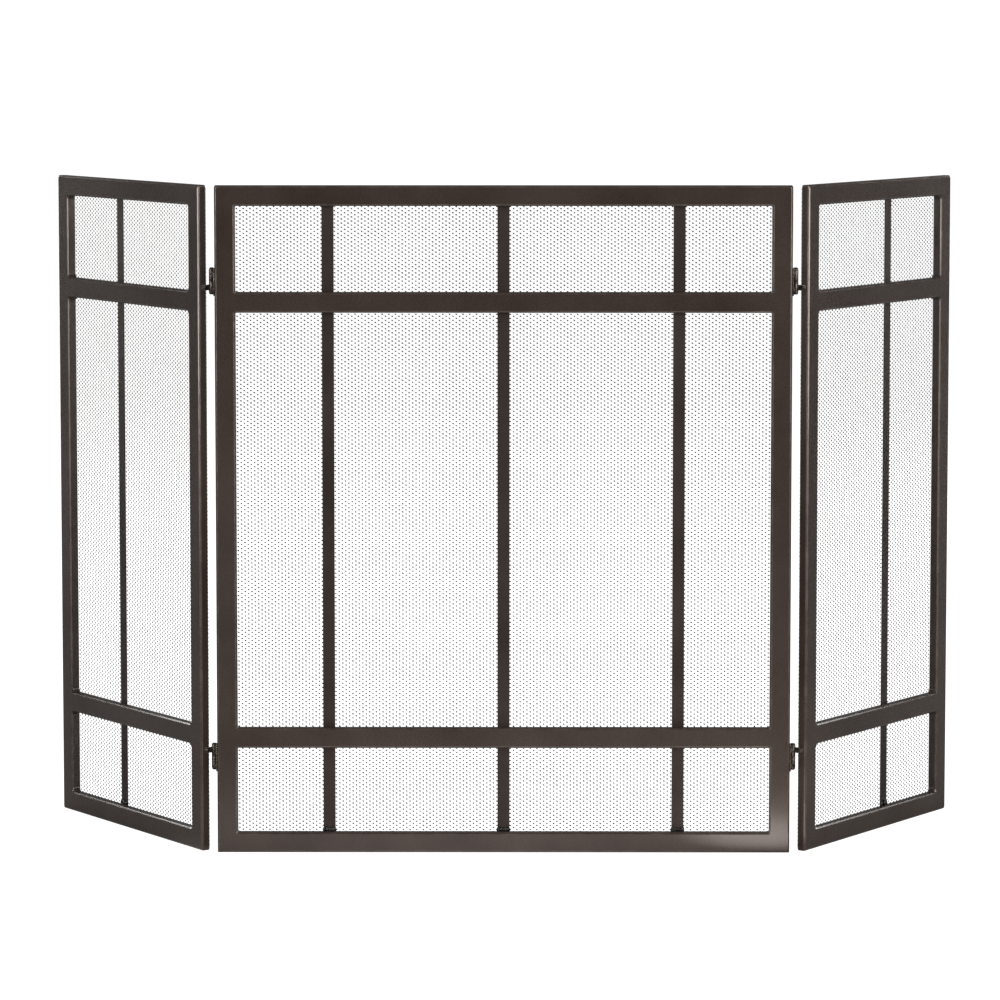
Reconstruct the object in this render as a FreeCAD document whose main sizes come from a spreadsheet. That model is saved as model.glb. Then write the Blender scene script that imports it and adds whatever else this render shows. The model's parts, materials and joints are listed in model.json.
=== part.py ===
import FreeCAD, Part
import os
import re
import Sketcher

# A three-panel folding fireplace screen: a wide centre panel and two narrow side panels. Each panel
# is a welded frame of rectangular steel tube, with flat strips and a sheet of expanded metal on its
# back. Two loose-pin hinges join each side panel to the centre, so that it folds back.
#
# Frame: +Z up, the centre panel faces -Y, and +X is to the right seen from the front. The origin is
# on the floor, under the middle of the box round the screen as it stands, side panels folded back.

doc = FreeCAD.newDocument("fireplace_screen")

# ------------------------------------------------------- driving dimensions (millimetres, degrees)

SIZES = [
    ("panel_height", 830.0),       # of all three panels
    ("centre_width", 711.2),       # 28 inches
    ("sides_apart", 8.0),          # between the side panels' far ends, folded flat behind the centre
    ("fold_angle", 55.0),          # how far the side panels stand folded back
    ("tube_face", 25.4),           # rectangular tube of 1 x 1/2 inch, its wide side to the front
    ("tube_depth", 12.7),
    ("tube_wall", 1.2),
    ("tube_radius", 2.0),          # of the tube's outer edges
    ("corner_opening", 106.0),     # the square openings in a panel's corners
    ("strip_width", 15.0),         # flat strip: the upright bars, and the border behind the tubes
    ("strip_thickness", 1.5),
    ("mesh_thickness", 1.0),       # of the expanded sheet, over its strands
    ("screw_radius", 1.5),
    ("screw_length", 7.0),
    ("screw_clearance", 0.1),
    ("screw_head_overhang", 1.4),
    ("screw_head_height", 1.8),
    ("hinge_inset", 119.0),        # from a panel's top or bottom to the gap between two knuckles
    ("fold_clearance", 0.5),       # from the screw heads on a panel's back to the hinge pins' axis
    ("side_gap", 3.0),             # from the pin's axis to the end of the side panel
    ("pin_radius", 2.0),
    ("pin_clearance", 0.05),
    ("pin_head_overhang", 1.0),
    ("pin_head_height", 2.4),
    ("pin_collar_overhang", 0.7),
    ("pin_collar_height", 0.8),
    ("knuckle_wall", 1.4),
    ("knuckle_standoff", 0.95),    # from the centre panel's side to the nearest point of a knuckle
    ("knuckle_height", 15.0),
    ("knuckle_gap", 0.3),
    ("leaf_thickness", 1.45),
    ("leaf_height", 34.0),
    ("leaf_setback", 1.2),         # from the panel's front face to the centre leaf's front edge
    ("leaf_screw_rise", 10.0),     # from the middle of the centre leaf to each of its two screws
    ("tongue_height", 7.0),        # of the side leaf's tongue, which lies on the side panel's end
    ("tongue_screw_depth", 7.6),   # from the side panel's front face to the tongue's screw
]
STILE_SCREWS = 5                   # screws that hold the mesh to each stile

sheet = doc.addObject("Spreadsheet::Sheet", "sizes")
for row, (alias, value) in enumerate(SIZES, start=1):
    sheet.set(f"A{row}", alias)
    sheet.set(f"B{row}", str(value))
    sheet.setAlias(f"B{row}", alias)
doc.recompute()

# Sizes and places that follow from those, as formulas. A panel's own frame has +Y towards its back.
DERIVED = {
    "half_centre": "centre_width / 2",
    "side_width": "half_centre + pin_outset - side_gap - sides_apart / 2",
    "strip_back": "tube_depth + strip_thickness",
    "mesh_back": "strip_back + mesh_thickness",
    "border_inset": "(tube_face - strip_width) / 2",
    "border_inside": "border_inset + strip_width",
    "bar_inset": "tube_face + corner_opening",
    "cross_rail_inset": "bar_inset + tube_face",
    "outer_bar": "half_centre - bar_inset",
    "between_bars": "(outer_bar - strip_width / 2) / 2",
    "screw_hole": "screw_radius + screw_clearance",
    "screw_head_radius": "screw_radius + screw_head_overhang",
    "knuckle_bore": "pin_radius + pin_clearance",
    "knuckle_radius": "knuckle_bore + knuckle_wall",
    "knuckle_length": "knuckle_height - knuckle_gap / 2",
    "knuckle_middle": "(knuckle_height + knuckle_gap / 2) / 2",
    "pin_head_radius": "pin_radius + pin_head_overhang",
    "pin_collar_radius": "pin_radius + pin_collar_overhang",
    "pin_outset": "knuckle_radius + knuckle_standoff",
    "pin_setback": "mesh_back + screw_head_height + fold_clearance",
    "pin_out": "half_centre + pin_outset",
    "back_behind_pin": "pin_setback - tube_depth",
    "tongue_screw_ahead": "pin_setback - tongue_screw_depth",
    "upper_hinge": "panel_height - hinge_inset",
    "fold_turn": "fold_angle * 1 deg",
    # from the centre panel's front face to the round back edge of an end stile
    "screen_depth": "pin_setback + (side_gap + side_width - tube_radius) * sin(fold_turn)"
                    " - (back_behind_pin + tube_radius) * cos(fold_turn) + tube_radius",
    "front_face": "-screen_depth / 2",
}

NODES = []


# ------------------------------------------------------------------- ways of making a sub-part

def spelled_out(formula, before=""):
    """A formula with its derived names replaced by the sheet's own, each with a prefix. Every name
    has an underscore, which sets it apart from a function or a unit."""
    def replacement(name):
        if name[0] in DERIVED:
            return f"({spelled_out(DERIVED[name[0]], before)})"
        return before + name[0]
    return re.sub(r"[a-z]+(_[a-z]+)+", replacement, formula)


def bind(item, prop, formula):
    """Ties a property to a formula, through the sheet's cells."""
    item.setExpression(prop, spelled_out(formula, before="sizes."))


def number(formula):
    """What a formula comes to now, to draw a sketch with before its constraints hold it."""
    value = sheet.evalExpression(spelled_out(formula))
    return float(getattr(value, "Value", value))


class Place:
    """Where a sub-part's own frame stands: a point, and a turn about +Z."""

    def __init__(self, x, y, z, turn):
        self.point = {"x": x, "y": y, "z": z}
        self.turn = turn

    def seat(self, item):
        item.Placement = FreeCAD.Placement(FreeCAD.Vector(), FreeCAD.Rotation(FreeCAD.Vector(0, 0, 1), 1))
        for axis, formula in self.point.items():
            bind(item, f"Placement.Base.{axis}", formula)
        bind(item, "Placement.Rotation.Angle", self.turn)


def new_body(label, place):
    body = doc.addObject("PartDesign::Body", label)
    body.Label = label
    place.seat(body)
    NODES.append(body)
    return body


def hold(sketch, item, point, x, y):
    """Constrains a point of a sketch to lie at two formulas from the sketch's origin."""
    for kind, formula in (("DistanceX", x), ("DistanceY", y)):
        index = sketch.addConstraint(Sketcher.Constraint(kind, -1, 1, item, point, number(formula)))
        bind(sketch, f"Constraints[{index}]", formula)


def draw(body, name, role, outlines=(), circles=(), offset="0"):
    """A sketch on one of the body's origin planes, or offset from it. An outline is the corners of
    a closed run of straight lines, and a circle is (x, y, radius), all of them formulas."""
    sketch = body.newObject("Sketcher::SketchObject", f"{body.Label}_{name}")
    plane = next(item for item in body.Origin.OriginFeatures if item.Role == role)
    sketch.AttachmentSupport = (plane, [""])
    sketch.MapMode = "FlatFace"
    bind(sketch, "AttachmentOffset.Base.z", offset)
    for corners in outlines:
        points = [FreeCAD.Vector(number(x), number(y), 0) for x, y in corners]
        first = sketch.GeometryCount
        for start, end in zip(points, points[1:] + points[:1]):
            sketch.addGeometry(Part.LineSegment(start, end))
        for index, (x, y) in enumerate(corners):
            before = first + (index - 1) % len(corners)
            sketch.addConstraint(Sketcher.Constraint("Coincident", before, 2, first + index, 1))
            hold(sketch, first + index, 1, x, y)
    for x, y, radius in circles:
        centre = FreeCAD.Vector(number(x), number(y), 0)
        circle = sketch.addGeometry(Part.Circle(centre, FreeCAD.Vector(0, 0, 1), number(radius)))
        hold(sketch, circle, 3, x, y)
        index = sketch.addConstraint(Sketcher.Constraint("Radius", circle, number(radius)))
        bind(sketch, f"Constraints[{index}]", radius)
    return sketch


def pad(body, sketch, length, side="One side", back=False):
    feature = body.newObject("PartDesign::Pad", f"{sketch.Name}_pad")
    feature.Profile = sketch
    feature.SideType = side
    feature.Reversed = back
    bind(feature, "Length", length)
    return feature


def pocket(body, sketch, depth=None, back=False):
    """A cut of a given depth, or right through the body both ways."""
    feature = body.newObject("PartDesign::Pocket", f"{sketch.Name}_cut")
    feature.Profile = sketch
    if depth:
        feature.Reversed = back
        bind(feature, "Length", depth)
    else:
        feature.SideType = "Symmetric"
        feature.Type = "ThroughAll"
    return feature


def round_edges(body, radius, wanted):
    """A fillet on the edges of the body's last feature that the test picks."""
    doc.recompute()
    base = body.Tip
    names = [f"Edge{i}" for i, edge in enumerate(base.Shape.Edges, start=1) if wanted(edge)]
    feature = body.newObject("PartDesign::Fillet", f"{base.Name}_round")
    feature.Base = (base, names)
    bind(feature, "Radius", radius)
    return feature


def rectangle(x0, y0, x1, y1):
    return [(x0, y0), (x1, y0), (x1, y1), (x0, y1)]


# --------------------------------------------------------------------------- tubes, strips, mesh

def tube(label, place, way, start, length, low, mitre_out=None):
    """A length of tube along X or Z whose wide side faces front. low is its lower edge, or its left
    edge when upright. mitre_out, +1 or -1, says which of its two edges is the panel's own edge:
    there it keeps its full length, and both its ends are mitred."""
    body = new_body(label, place)
    high = f"({low} + tube_face)"
    end = f"({start} + {length})"
    across = ("0", low, "tube_depth", high) if way == "X" else (low, "0", high, "tube_depth")
    inner = [f"{across[0]} + tube_wall", f"{across[1]} + tube_wall",
             f"{across[2]} - tube_wall", f"{across[3]} - tube_wall"]
    role = "YZ_Plane" if way == "X" else "XY_Plane"
    outlines = [rectangle(*across), rectangle(*inner)]
    pad(body, draw(body, "section", role, outlines, offset=start), length)

    def long_edges(inside):
        corner = [(number(x), number(y)) for x, y in outlines[1 if inside else 0]]

        def wanted(edge):
            point = edge.Vertexes[0].Point
            here = (point.y, point.z) if way == "X" else (point.x, point.y)
            run = edge.Vertexes[-1].Point - point
            along = abs(run.x if way == "X" else run.z) > 0.99 * run.Length
            return along and any(abs(here[0] - x) + abs(here[1] - y) < 0.001 for x, y in corner)
        return wanted

    round_edges(body, "tube_radius", long_edges(False))
    round_edges(body, "max(tube_radius - tube_wall; tube_wall / 4)", long_edges(True))
    if mitre_out:
        outer, inner_edge = (high, low) if mitre_out > 0 else (low, high)
        first = [(start, outer), (start, inner_edge), (f"{start} + tube_face", inner_edge)]
        last = [(end, outer), (end, inner_edge), (f"{end} - tube_face", inner_edge)]
        corners = [first, last] if way == "X" else [[(y, x) for x, y in run] for run in (first, last)]
        pocket(body, draw(body, "mitres", "XZ_Plane", corners))
    return body


def plate(label, place, x0, z0, x1, z1, front, thickness, holes=()):
    """A flat piece that faces front, with screw holes at (x, z)."""
    body = new_body(label, place)
    circles = [(x, z, "screw_hole") for x, z in holes]
    face = draw(body, "face", "XZ_Plane", [rectangle(x0, z0, x1, z1)], circles, offset=f"-{front}")
    pad(body, face, thickness, back=True)
    return body


def drill_back(body, holes):
    """Screw holes through a tube's back wall, at (x, z)."""
    circles = [(x, z, "screw_hole") for x, z in holes]
    sketch = draw(body, "mesh_holes", "XZ_Plane", (), circles, offset="-tube_depth")
    pocket(body, sketch, "tube_wall", back=True)


def drill_side(body, x, holes, rightwards):
    """Screw holes through a tube's side wall at x, at (y, z), drilled to the right or the left."""
    circles = [(y, z, "screw_hole") for y, z in holes]
    sketch = draw(body, "hinge_holes", "YZ_Plane", (), circles, offset=x)
    pocket(body, sketch, "tube_wall", back=rightwards)


# ------------------------------------------------------------------------------------- fasteners

def make_screw():
    """The pan-head screw that every joint uses, its seat on the XY plane and its head above."""
    body = doc.addObject("PartDesign::Body", "screw")
    profile = [("0", "-screw_length"), ("screw_radius", "-screw_length"), ("screw_radius", "0"),
               ("screw_head_radius", "0"), ("screw_head_radius", "screw_head_height / 2"),
               ("screw_head_radius * 0.6", "screw_head_height"), ("0", "screw_head_height")]
    sketch = draw(body, "profile", "XZ_Plane", [profile])
    feature = body.newObject("PartDesign::Revolution", "screw_turned")
    feature.Profile = sketch
    feature.ReferenceAxis = (sketch, ["V_Axis"])
    feature.Angle = 360
    return body


SCREW = make_screw()
HEAD_TO = {"back": FreeCAD.Rotation(FreeCAD.Vector(1, 0, 0), -90),
           "left": FreeCAD.Rotation(FreeCAD.Vector(0, 1, 0), -90),
           "right": FreeCAD.Rotation(FreeCAD.Vector(0, 1, 0), 90)}


def screws(label, place, seats):
    """A group of screws, one for each (x, y, z, side that its head faces)."""
    links = []
    for x, y, z, side in seats:
        link = doc.addObject("App::Link", f"{label}_screw")
        link.LinkedObject = SCREW
        link.Placement = FreeCAD.Placement(FreeCAD.Vector(), HEAD_TO[side])
        for axis, formula in zip("xyz", (x, y, z)):
            bind(link, f"Placement.Base.{axis}", formula)
        links.append(link)
    group = doc.addObject("Part::Compound", label)
    group.Label = label
    group.Links = links
    place.seat(group)
    NODES.append(group)
    return group


# ---------------------------------------------------------------------------------------- panels

def panel(name, place, left, right, stile_names, bars, rail_screws):
    """One panel between x = left and x = right: a tube frame with two cross rails, strips and mesh
    behind it, and the screws that hold the mesh. bars maps each upright bar's name to its left
    edge, and rail_screws lists where along a rail its screws are. Returns the two stiles."""
    inside = f"({right} - {left} - 2 * tube_face)"
    stile_middles = (f"({left} + tube_face / 2)", f"({right} - tube_face / 2)")
    rail_middles = ("(tube_face / 2)", "(panel_height - tube_face / 2)")
    rises = [f"(panel_height * {2 * i + 1} / {2 * STILE_SCREWS})" for i in range(STILE_SCREWS)]

    stiles = []
    for stile_name, low, middle, out in zip(stile_names, (left, f"({right} - tube_face)"),
                                            stile_middles, (-1, 1)):
        body = tube(f"{name}_{stile_name}", place, "Z", "0", "panel_height", low, mitre_out=out)
        drill_back(body, [(middle, rise) for rise in rises])
        stiles.append(body)
    for rail_name, low, middle, out in zip(("bottom_rail", "top_rail"), ("0", "(panel_height - tube_face)"),
                                           rail_middles, (-1, 1)):
        body = tube(f"{name}_{rail_name}", place, "X", left, f"({right} - {left})", low, mitre_out=out)
        drill_back(body, [(x, middle) for x in rail_screws])
    for rail_name, low in (("lower_cross_rail", "bar_inset"),
                           ("upper_cross_rail", "(panel_height - cross_rail_inset)")):
        tube(f"{name}_{rail_name}", place, "X", f"({left} + tube_face)", inside, low)

    border_left, border_right = f"({left} + border_inset)", f"({right} - border_inset)"
    border_top = "(panel_height - border_inset)"
    within_left, within_right = f"({left} + border_inside)", f"({right} - border_inside)"
    within_top = "(panel_height - border_inside)"

    def strip(strip_name, x0, z0, x1, z1, holes=()):
        plate(f"{name}_{strip_name}", place, x0, z0, x1, z1, "tube_depth", "strip_thickness", holes)

    strip("left_border", border_left, "border_inset", within_left, border_top,
          [(stile_middles[0], rise) for rise in rises])
    strip("right_border", within_right, "border_inset", border_right, border_top,
          [(stile_middles[1], rise) for rise in rises])
    strip("bottom_border", within_left, "border_inset", within_right, "border_inside",
          [(x, rail_middles[0]) for x in rail_screws])
    strip("top_border", within_left, within_top, within_right, border_top,
          [(x, rail_middles[1]) for x in rail_screws])
    for bar_name, x0 in bars.items():
        strip(bar_name, x0, "border_inside", f"({x0} + strip_width)", within_top)

    seats = [(x, z) for x in stile_middles for z in rises]
    seats += [(x, z) for x in rail_screws for z in rail_middles]
    plate(f"{name}_mesh", place, border_left, "border_inset", border_right, border_top,
          "strip_back", "mesh_thickness", seats)
    screws(f"{name}_mesh_screws", place, [(x, "mesh_back", z, "back") for x, z in seats])
    return stiles


CENTRE = Place("0", "front_face", "0", "0")

centre_stiles = panel(
    "centre", CENTRE, "(-half_centre)", "half_centre", ("left_stile", "right_stile"),
    {"left_bar": "(-outer_bar)", "middle_bar": "(-strip_width / 2)",
     "right_bar": "(outer_bar - strip_width)"},
    ("(-between_bars)", "between_bars"))


# A side panel's own frame stands on its front face, level with the pins, and turns about them. out
# is the way that the panel lies from its pins, -1 to the left and +1 to the right.
def side_place(out):
    turn = f"({out} * fold_angle)"
    return Place(f"({out} * pin_out + pin_setback * sin({turn} * 1 deg))",
                 f"(front_face + pin_setback - pin_setback * cos({turn} * 1 deg))", "0", turn)


def side_panel(name, out):
    near, far = f"({out} * side_gap)", f"({out} * (side_gap + side_width))"
    left, right = (near, far) if out > 0 else (far, near)
    bar = f"({far} + bar_inset)" if out < 0 else f"({far} - bar_inset - strip_width)"
    names = ("hinge_stile", "outer_stile") if out > 0 else ("outer_stile", "hinge_stile")
    stiles = panel(name, side_place(out), left, right, names, {"bar": bar},
                   (f"(({left} + {right}) / 2)",))
    return stiles[0] if out > 0 else stiles[1]


# ---------------------------------------------------------------------------------------- hinges

# Each hinge's frame has its origin on the pin's axis, midway between its two knuckles. out is the
# side of the screen it is on, -1 or +1, and up is +1 where the centre panel's knuckle is the upper
# one, as on the two upper hinges. The lower ones are the same hinge the other way up.
def hinge_place(out, rise, turn="0"):
    return Place(f"({out} * pin_out)", "(front_face + pin_setback)", rise, turn)


def knuckle(body, up, bore_name="bore"):
    """A knuckle on the pin's axis, above or below the hinge's middle, bored for the pin."""
    ring = draw(body, "knuckle", "XY_Plane", (), [("0", "0", "knuckle_radius")],
                offset=f"({up} * knuckle_gap / 2)")
    pad(body, ring, "knuckle_length", back=up < 0)
    pocket(body, draw(body, bore_name, "XY_Plane", (), [("0", "0", "knuckle_bore")]))


def centre_leaf(label, out, rise, up):
    """The leaf on the centre panel's side: a plate with two screw holes, carried back to a knuckle."""
    body = new_body(label, hinge_place(out, rise))
    inner, outer = f"(-{out} * pin_outset)", f"(-{out} * (pin_outset - leaf_thickness))"
    face = rectangle(inner, "(leaf_setback - pin_setback)", outer, "(-back_behind_pin)")
    pad(body, draw(body, "plate", "XY_Plane", [face]), "leaf_height", side="Symmetric")
    lug = rectangle(inner, "(-back_behind_pin)", outer, "0")
    pad(body, draw(body, "lug", "XY_Plane", [lug], offset=f"({up} * knuckle_gap / 2)"),
        "knuckle_length", back=up < 0)
    knuckle(body, up)
    holes = [("(tube_depth / 2 - pin_setback)", f"({way} * leaf_screw_rise)",
              "screw_hole") for way in (-1, 1)]
    pocket(body, draw(body, "screw_holes", "YZ_Plane", (), holes))


def side_leaf(label, out, rise, up):
    """The leaf on the side panel: a knuckle, and a tongue that lies on the end of the panel."""
    body = new_body(label, hinge_place(out, rise, f"({out} * fold_angle)"))
    inner, outer = f"({out} * side_gap)", f"({out} * (side_gap - leaf_thickness))"
    face = rectangle(inner, "(-tongue_screw_ahead - tongue_height / 2)", outer, "0")
    middle = f"(-{up} * knuckle_middle)"
    pad(body, draw(body, "tongue", "XY_Plane", [face], offset=middle), "tongue_height", side="Symmetric")
    knuckle(body, -up)
    hole = ("(-tongue_screw_ahead)", middle, "screw_hole")
    pocket(body, draw(body, "screw_hole", "YZ_Plane", (), [hole]))


def hinge_pin(label, out, rise, up):
    """The loose pin: a domed head on the centre panel's knuckle and a peened collar at its far end."""
    body = new_body(label, hinge_place(out, rise))
    head_seat = f"({up} * knuckle_height)"
    collar_seat = f"(-{up} * (knuckle_height + knuckle_gap))"
    shank = draw(body, "shank", "XY_Plane", (), [("0", "0", "pin_radius")], offset=collar_seat)
    pad(body, shank, "(2 * knuckle_height + knuckle_gap)", back=up < 0)
    collar = draw(body, "collar", "XY_Plane", (), [("0", "0", "pin_collar_radius")], offset=collar_seat)
    pad(body, collar, "pin_collar_height", back=up > 0)
    head = draw(body, "head", "XY_Plane", (), [("0", "0", "pin_head_radius")], offset=head_seat)
    pad(body, head, "pin_head_height", back=up < 0)
    head_end = number(f"({up} * (knuckle_height + pin_head_height))")
    round_edges(body, "pin_head_height * 0.8",
                lambda edge: abs(edge.BoundBox.ZMin - head_end) + abs(edge.BoundBox.ZMax - head_end) < 0.01)


centre_seats = []
for side, out, stile in (("left", -1, centre_stiles[0]), ("right", 1, centre_stiles[1])):
    hinge_stile = side_panel(side, out)
    leaf_holes, tongue_holes = [], []
    for level, rise, up in (("upper", "upper_hinge", 1), ("lower", "hinge_inset", -1)):
        hinge = f"{side}_{level}_hinge"
        centre_leaf(f"{hinge}_centre_leaf", out, rise, up)
        side_leaf(f"{hinge}_side_leaf", out, rise, up)
        hinge_pin(f"{hinge}_pin", out, rise, up)
        leaf_holes += [("(tube_depth / 2)", f"({rise} + {way} * leaf_screw_rise)") for way in (-1, 1)]
        tongue_holes.append(("tongue_screw_depth", f"({rise} - {up} * knuckle_middle)"))
    drill_side(stile, f"({out} * half_centre)", leaf_holes, rightwards=out < 0)
    drill_side(hinge_stile, f"({out} * side_gap)", tongue_holes, rightwards=out > 0)
    head_side = "left" if out < 0 else "right"
    centre_seats += [(f"({out} * (half_centre + leaf_thickness))", y, z, head_side) for y, z in leaf_holes]
    head_side = "right" if out < 0 else "left"
    screws(f"{side}_hinge_screws", side_place(out),
           [(f"({out} * (side_gap - leaf_thickness))", y, z, head_side) for y, z in tongue_holes])
screws("centre_hinge_screws", CENTRE, centre_seats)


# ---------------------------------------------------------------------------- checks, and writing

doc.recompute()
for item in doc.Objects:
    if "Invalid" in item.State or "Error" in item.State:
        raise RuntimeError(f"{item.Label} failed: {item.State}")
    if item.TypeId == "PartDesign::Pocket":
        if item.Shape.Volume > item.BaseFeature.Shape.Volume - 1:
            raise RuntimeError(f"{item.Label} cuts nothing")

os.makedirs("parts", exist_ok=True)
for node in NODES:
    shape = node.Shape
    if shape.isNull() or not shape.isValid():
        raise RuntimeError(f"{node.Label} has no sound shape")
    shape.exportStep(f"parts/{node.Label}.step")
    print(f"{node.Label}: {len(shape.Solids)} solid(s), {shape.Volume / 1000:.2f} cm3")
print(f"{len(NODES)} sub-parts")
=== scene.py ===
# %% [markdown]
# # A folding fireplace screen
# The screen is three panels of welded steel tube. Each panel carries flat bars and a sheet of
# expanded metal on its back, and two pairs of small hinges let the side panels swing.
# The imported CAD model is loaded first, because every later piece takes its place from it.

# %% Load the frame and its joints
import json
import math

import bmesh
import bpy
from mathutils import Matrix, Vector


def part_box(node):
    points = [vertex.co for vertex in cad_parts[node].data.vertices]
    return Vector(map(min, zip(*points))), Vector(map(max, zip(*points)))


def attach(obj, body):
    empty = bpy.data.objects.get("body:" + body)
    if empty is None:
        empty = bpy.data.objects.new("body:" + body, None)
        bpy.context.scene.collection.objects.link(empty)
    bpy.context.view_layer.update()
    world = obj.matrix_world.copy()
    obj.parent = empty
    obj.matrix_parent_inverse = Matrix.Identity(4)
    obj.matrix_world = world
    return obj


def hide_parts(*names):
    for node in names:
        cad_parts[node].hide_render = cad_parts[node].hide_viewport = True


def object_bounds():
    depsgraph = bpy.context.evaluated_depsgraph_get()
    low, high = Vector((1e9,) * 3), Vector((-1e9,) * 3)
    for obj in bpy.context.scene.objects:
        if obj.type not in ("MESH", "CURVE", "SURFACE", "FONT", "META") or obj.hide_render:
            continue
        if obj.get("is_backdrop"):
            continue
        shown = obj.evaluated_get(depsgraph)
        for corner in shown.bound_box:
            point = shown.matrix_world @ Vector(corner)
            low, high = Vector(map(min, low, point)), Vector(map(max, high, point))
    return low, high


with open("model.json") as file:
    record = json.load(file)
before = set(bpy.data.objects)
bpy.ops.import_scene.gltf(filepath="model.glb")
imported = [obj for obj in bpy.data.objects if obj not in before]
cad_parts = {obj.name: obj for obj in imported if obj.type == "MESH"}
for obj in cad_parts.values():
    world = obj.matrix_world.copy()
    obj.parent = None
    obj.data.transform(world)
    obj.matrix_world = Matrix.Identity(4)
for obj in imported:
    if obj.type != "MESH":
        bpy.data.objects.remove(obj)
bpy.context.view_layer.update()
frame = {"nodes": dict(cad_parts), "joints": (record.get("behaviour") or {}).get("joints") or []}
MM = 0.001

# %% [markdown]
# ## Where the three panels stand
# The tubes are all one size, so one stile gives it. A panel is drawn flat, as a welder lays it out:
# across, depth from the front face, and up. A matrix then stands it in its place. The side panels
# turn about the hinge pins by the angle that would bring them flat again.

# %% Read the sizes that everything else follows
stile_low, stile_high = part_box("centre_left_stile")
border_low, border_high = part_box("centre_left_border")
sheet_low, sheet_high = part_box("centre_mesh")
FRONT = stile_low.y
FACE = stile_high.x - stile_low.x
DEPTH = stile_high.y - stile_low.y
HEIGHT = stile_high.z
HALF_WIDTH = -stile_low.x
STRIP = border_high.x - border_low.x
STRIP_FRONT = border_low.y - FRONT
SHEET_FRONT = sheet_low.y - FRONT
SHEET_BACK = sheet_high.y - FRONT
INSET = sheet_low.z
pins = {joint["child"]: Vector(joint["pos_m"]) for joint in frame["joints"]}
fold_angle = math.radians(frame["joints"][0]["range_deg"][1])
PIN_DEPTH = pins["left_panel"].y - FRONT
print("tube", round(FACE / MM, 1), "by", round(DEPTH / MM, 1), "fold", round(math.degrees(fold_angle), 1))

# %% Stand each panel in its place
SIDE_GAP = 3 * MM
SIDE_WIDTH = 353 * MM


def side_matrix(name, hand):
    turn = Matrix.Rotation(hand * fold_angle, 4, "Z")
    pin = pins[name]
    return Matrix.Translation((pin.x, pin.y, 0)) @ turn @ Matrix.Translation((0, -PIN_DEPTH, 0))


PANELS = {
    "centre": {
        "body": "centre_panel",
        "span": (-HALF_WIDTH, HALF_WIDTH),
        "place": Matrix.Translation((0, FRONT, 0)),
    },
    "left": {
        "body": "left_panel",
        "span": (-SIDE_GAP - SIDE_WIDTH, -SIDE_GAP),
        "place": side_matrix("left_panel", -1),
    },
    "right": {
        "body": "right_panel",
        "span": (SIDE_GAP, SIDE_GAP + SIDE_WIDTH),
        "place": side_matrix("right_panel", 1),
    },
}
for name, panel in PANELS.items():
    ends = [panel["place"] @ Vector((u, 0, 0)) for u in panel["span"]]
    print(name, [[round(v / MM, 1) for v in end] for end in ends])

# %% [markdown]
# ## Camera
# A long lens from a little over a metre up shows the screen almost square on. The camera leans
# down a few degrees, and a small lens shift does the rest, so that the uprights stay upright.

# %% Set the camera
EYE = (0.016, -5.5393, 1.074)
LEAN_DOWN, TURN_ASIDE = math.radians(5.39), math.radians(0.216)
lens_data = bpy.data.cameras.new("camera")
lens_data.sensor_width = 36
lens_data.lens = 158.1
lens_data.shift_y = -0.1
camera = bpy.data.objects.new("camera", lens_data)
camera.location = EYE
camera.rotation_euler = (math.radians(90) - LEAN_DOWN, 0, TURN_ASIDE)
bpy.context.scene.collection.objects.link(camera)
bpy.context.scene.camera = camera
print("camera at", [round(v, 3) for v in camera.location], "lens", lens_data.lens)

# %% [markdown]
# ## A helper for node trees
# Floor, finishes and Geometry Nodes are all made of nodes, so four short helpers come first: one
# adds a node, one joins sockets, one feeds a node from sockets or plain numbers, and one does a sum.


# %% Node helpers
def add(tree, kind, **settings):
    node = tree.nodes.new(kind)
    inputs = settings.pop("inputs", {})
    for key, value in settings.items():
        setattr(node, key, value)
    for key, value in inputs.items():
        node.inputs[key].default_value = value
    return node


def join(tree, *pairs):
    for start, end in pairs:
        tree.links.new(start, end)


def fed(tree, node, *values):
    for k, value in enumerate(values):
        if isinstance(value, (int, float)):
            node.inputs[k].default_value = value
        else:
            tree.links.new(value, node.inputs[k])
    return node.outputs[0]


def maths(tree, operation, *values):
    return fed(tree, add(tree, "ShaderNodeMath", operation=operation), *values)


# %% [markdown]
# ## Floor and light
# The screen stands on a plain pale floor that runs far back, so no edge of it shows. Seen straight
# by the camera, floor and room are a light table, bright enough to swallow every shadow. Seen by
# the steel they are dim, because bright surroundings would wash the dark coat out. Two pools of light
# on the floor in front lift the bottom rail, most of all at its right end.

# %% Make the floor
FLOOR_WIDE, FLOOR_FRONT, FLOOR_BACK = 60.0, -60.0, 600.0
FLOOR_DROP = 0.2 * MM
floor_mesh = bpy.data.meshes.new("floor")
front = [(-FLOOR_WIDE, FLOOR_FRONT, -FLOOR_DROP), (FLOOR_WIDE, FLOOR_FRONT, -FLOOR_DROP)]
back = [(FLOOR_WIDE, FLOOR_BACK, -FLOOR_DROP), (-FLOOR_WIDE, FLOOR_BACK, -FLOOR_DROP)]
floor_mesh.from_pydata(front + back, [], [(0, 1, 2, 3)])
floor = bpy.data.objects.new("floor", floor_mesh)
bpy.context.scene.collection.objects.link(floor)
floor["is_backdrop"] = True
print("floor runs back", FLOOR_BACK, "m")

# %% Paint the floor
FLOOR_GREY = 0.38
LIGHT_TABLE = 1.02
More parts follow.
